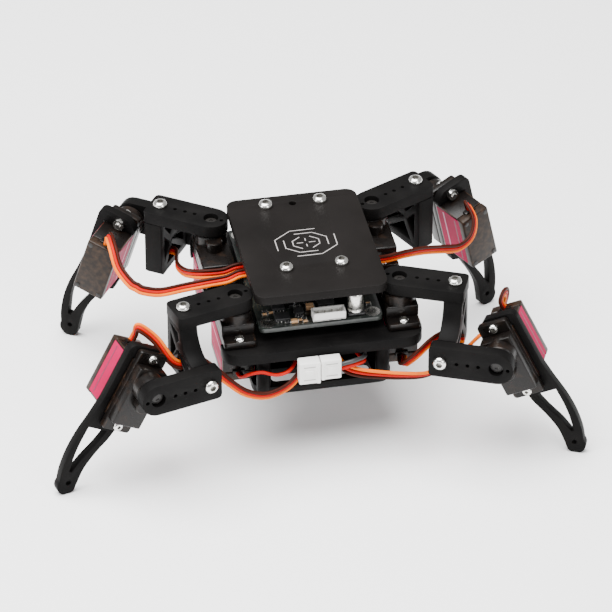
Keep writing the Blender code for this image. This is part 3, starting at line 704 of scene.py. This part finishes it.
def shafts(leg):
    """Splined shafts with a dark screw, seen down the bores of the arms; the spline's brass top face is
    painted near-black as shade in the bore.
    """
    work = bmesh.new()
    top = CASE_TO_FACE - 1.3
    lower = spline_ring(work, CASE_H + 4.3)
    upper = spline_ring(work, top - 0.3)
    for i, start in enumerate(lower):
        j = (i + 1) % len(lower)
        work.faces.new((start, lower[j], upper[j], upper[i]))
    work.faces.new(lower)
    # painted shade: the brass spline's top face takes the near-black bore finish
    work.faces.new(upper).material_index = 1
    rim = (0.9, top)
    floor = (0.85, top - 0.6)
    screw = [(1.9, top - 0.35), (1.9, top - 0.1), (1.5, top), rim, floor]
    turned(work, screw, sides=24, index=1, hexed={rim: 4, floor: 4})
    mesh = to_mesh(work, f"shaft_{leg.name}", angle=50)
    for kind, matrix in (("hip", leg.hip_servo()), ("knee", leg.knee_servo())):
        add(f"{kind}_spline_{leg.name}", mesh, f"link_{leg.name}", ["brass", "dark_screw_bore_shade"], matrix,
            [f"{kind}_shaft_{leg.name}"])


# ---- electronics ----------------------------------------------------------------------
def board_box(work, low, high, index, round_by, steps=1):
    """A rounded box whose heights count from the board's top face."""
    base = UP * BOARD_TOP
    box(work, Vector(low) + base, Vector(high) + base, index, round_by, steps)


def small_part(work, middle, size, index, ends=None):
    """A part on the board, with soldered ends if asked for."""
    x, y = middle
    dx, dy, dz = size
    board_box(work, (x - dx / 2, y - dy / 2, 0), (x + dx / 2, y + dy / 2, dz), index, 0.08)
    if ends is None:
        return
    for side in (-1, 1):
        end = x + side * dx / 2
        board_box(work, (end - 0.16, y - dy / 2 - 0.02, 0), (end + 0.16, y + dy / 2 + 0.02, dz + 0.03),
                  ends, 0.05)


def chip(work, middle, size):
    """A chip with four short legs on each of two sides."""
    small_part(work, middle, size, 0)
    x, y = middle
    dx, dy, _ = size
    for side in (-1, 1):
        edge = y + side * dy / 2
        for k in range(4):
            foot = x + dx * (k * 0.24 - 0.36)
            board_box(work, (foot - 0.16, edge - 0.35, 0), (foot + 0.16, edge + 0.35, 0.35), 1, 0.04)


def free_of_big_parts(x, y):
    corner_hole = abs(abs(x) - 18.8) < 2.6 and y < -22.5
    header_or_can = -4 < x < 17 and y < -19.5
    return not corner_hole and not header_or_can


def board_parts():
    """Small parts on the board's front strip, and rings round its corner holes."""
    work = bmesh.new()
    rng = random.Random(7)
    for _ in range(34):
        x = rng.uniform(-20.5, 20.5)
        y = rng.uniform(-27.6, -16.5)
        if free_of_big_parts(x, y):
            small_part(work, (x, y), (1.7, 0.9, 0.55), rng.choice((0, 0, 3)), 1)
    chip(work, (-13.2, -23.5), (5.2, 4.2, 1.2))
    chip(work, (-6.8, -21.0), (3.4, 3.6, 1.0))
    chip(work, (-13.6, -17.6), (4.6, 3.0, 1.1))
    chip(work, (3.4, -17.2), (6.0, 4.6, 1.3))
    chip(work, (12.6, -16.6), (3.2, 2.6, 1.0))
    small_part(work, (-2.6, -19.4), (3.0, 2.2, 1.6), 3, 1)
    small_part(work, (-9.4, -26.6), (2.6, 1.6, 1.1), 3, 1)
    low = BOARD_TOP - 0.02
    high = BOARD_TOP + 0.06
    for place in ((-18.8, -25.4), (-18.8, 30.4), (18.8, -25.4), (18.8, 30.4)):
        turned(work, [(1.7, low), (1.7, high), (2.9, high), (2.9, low)], place, 24, 1)
    add("board_parts", to_mesh(work, "board_parts"), "chassis", ["chip", "tin", "gold", "tan"])


def pin_rows():
    """Rows of header pins with their black strips."""
    work = bmesh.new()
    for side in (-1, 1):
        for k in range(14):
            y = -4.6 + k * 2.42
            for j in (-1, 0, 1):
                x = side * 18.4 + j * 1.7
                board_box(work, (x - 0.8, y - 1.1, 0.3), (x + 0.8, y + 1.1, 2.8), 0, 0.2)
                board_box(work, (x - 0.3, y - 0.3, 2.8), (x + 0.3, y + 0.3, 6.3), 1, 0.08)
    add("header_pins", to_mesh(work, "header_pins"), "chassis", ["dark", "gold"],
        replaces=["pin_strip_left", "pin_strip_right"])


def power_header():
    """A shrouded header with four pins."""
    x0, y0, x1, y1 = -3.0, -28.6, 8.8, -24.2
    wall = 0.7
    work = bmesh.new()
    board_box(work, (x0, y0, 0.3), (x1, y1, 1.2), 0, 0.15)
    for a, b, c, d in ((x0, y0, x1, y0 + wall), (x0, y1 - wall, x1, y1), (x0, y0, x0 + wall, y1),
                       (x1 - wall, y0, x1, y1)):
        board_box(work, (a, b, 0.3), (c, d, 3.7), 0, 0.15)
    for k in range(4):
        x = -0.9 + k * 2.5
        board_box(work, (x - 0.32, -26.7, 1.0), (x + 0.32, -26.1, 3.5), 1, 0.08)
    add("power_header_body", to_mesh(work, "power_header_body"), "chassis",
        ["white", "tin"], replaces=["power_header"])


def metal_can():
    """A capacitor's can on its dark foot."""
    work = bmesh.new()
    board_box(work, (10.0, -27.4, 0.3), (16.0, -21.1, 1.3), 1, 0.4, 2)
    outline = [(2.9, 1.3), (2.9, 1.9), (2.7, 2.2), (2.9, 2.5), (2.9, 8.0), (2.6, 8.5), (1.2, 8.55)]
    turned(work, [(radius, BOARD_TOP + height) for radius, height in outline], (13.0, -24.25), 32, 0)
    add("metal_can_body", to_mesh(work, "metal_can_body"), "chassis", ["tin", "chip"],
        replaces=["metal_can"])


def controller_module():
    """A small board with a shield, a chip and two rows of soldered pins."""
    work = bmesh.new()
    board_box(work, (-6.0, -8.0, 0.3), (6.0, 18.0, 1.4), 0, 0.15)
    board_box(work, (-4.0, -2.0, 1.4), (4.0, 9.0, 3.3), 1, 0.3, 2)
    for k in range(9):
        y = -6.0 + k * 2.6
        for x in (-5.2, 5.2):
            board_box(work, (x - 0.4, y - 0.4, 1.2), (x + 0.4, y + 0.4, 1.8), 2, 0.1)
    board_box(work, (-2.6, 12.0, 1.4), (2.6, 16.4, 2.6), 3, 0.2)
    add("controller_module_body", to_mesh(work, "controller_module_body"), "chassis",
        ["board", "tin", "gold", "chip"], replaces=["controller_module"])


def battery_and_plug():
    low = Vector((-14.0, -5.5, TRAY_TOP + 0.3))
    high = Vector((14.0, 27.0, DECK_TOP - 7.0))
    work = bmesh.new()
    box(work, low, high, 0, 1.6, 4)
    box(work, (low.x + 3, low.y - 0.1, low.z + 2), (high.x - 3, low.y + 0.3, high.z - 2), 1, 0.1, 1)
    add("battery_pack", to_mesh(work, "battery_pack"), "chassis", ["wrap", "tan"],
        replaces=["battery"])
    connector("battery_plug", -10.2, -2.6, 4.4, 9.0, 1)
    connector("battery_socket", -2.3, 5.0, 4.0, 8.2, -1)


def connector(node, x0, x1, deep, tall, way):
    """A nylon shell with a rib round its mouth, a latch and two flat grey bands of painted shade that stand
    for two shallow grooves.
    """
    front = HIP_Y[0] - 14.6 - 0.3
    top = DECK_TOP - 3.0
    low = top - tall
    near = front - deep
    mouth = x1 if way > 0 else x0
    work = bmesh.new()
    box(work, (x0, near, low), (x1, front, top), 0, 0.5, 3)
    a, b = sorted((mouth, mouth - way * 1.3))
    box(work, (a, near - 0.3, low + 0.1), (b, front, top - 0.1), 0, 0.25, 2)
    a, b = sorted((mouth - way * 2.2, mouth - way * 5.6))
    box(work, (a, near - 0.45, low + tall * 0.34), (b, near + 0.4, low + tall * 0.66), 0, 0.3, 2)
    # painted shade: two grey bands, barely proud of the face, stand in for the shade of grooves
    for share in (0.2, 0.8):
        z = low + tall * share
        box(work, (a - 0.4, near - 0.03, z - 0.22), (b + 0.4, near + 0.3, z + 0.22), 1, 0.04, 1)
    add(f"{node}_shell", to_mesh(work, f"{node}_shell"), "chassis", ["white", "groove_shade"],
        replaces=[node])


# ---- cover engraving ------------------------------------------------------------------
def strip(work, a, b, width, z):
    a, b = Vector(a), Vector(b)
    along = (b - a).normalized()
    side = Vector((-along.y, along.x)) * width / 2
    a -= along * width / 2
    b += along * width / 2
    corners = [a - side, b - side, b + side, a + side]
    lower = [work.verts.new((c.x, c.y, z - 0.05)) for c in corners]
    upper = [work.verts.new((c.x, c.y, z + 0.02)) for c in corners]
    work.faces.new(upper)
    work.faces.new(lower[::-1])
    for i in range(4):
        j = (i + 1) % 4
        work.faces.new((lower[i], lower[j], upper[j], upper[i]))


def engraving():
    """A plain geometric mark: nested eight-sided rings and four short ticks."""
    work = bmesh.new()
    width = 0.34
    stretch = 1.35
    for reach in (8.6, 6.2, 3.8):
        turns = [math.radians(22.5 + 45 * i) for i in range(8)]
        ring = [(stretch * reach * math.cos(turn), reach * math.sin(turn)) for turn in turns]
        for i in range(8):
            if (i + int(reach)) % 4:
                strip(work, ring[i], ring[(i + 1) % 8], width, COVER_TOP)
    for way in (-1, 1):
        strip(work, (way * 1.2, 0), (way * 3.2, 0), width, COVER_TOP)
        strip(work, (0, way * 1.2), (0, way * 2.4), width, COVER_TOP)
    add("cover_mark", to_mesh(work, "cover_mark"), "chassis", ["line"])


# ---- the moulded pieces ---------------------------------------------------------------
def moulded():
    softened("main_frame", "frame", 0.5, 3)
    softened("battery_tray", "frame", 0.35)
    softened("top_cover", "cover", 0.55, 3)
    softened("control_board", "board", 0.12, 1)
    for end in ("front", "back"):
        for side in ("left", "right"):
            softened(f"cover_post_{end}_{side}", "frame", 0.2)
    for name in LEGS:
        softened(f"hip_arm_{name}", "frame", 0.4, 3)
        softened(f"knee_arm_{name}", "frame", 0.4, 3)
        softened(f"corner_web_{name}", "frame", 0.3)
        softened(f"foot_plate_{name}", "frame", 0.4, 3)


FINISH = {**plastics(), **prints(), **metals(), **insulation()}
camera()
studio()
leads()
moulded()
servos()
screws()
board_parts()
pin_rows()
power_header()
metal_can()
controller_module()
battery_and_plug()
engraving()
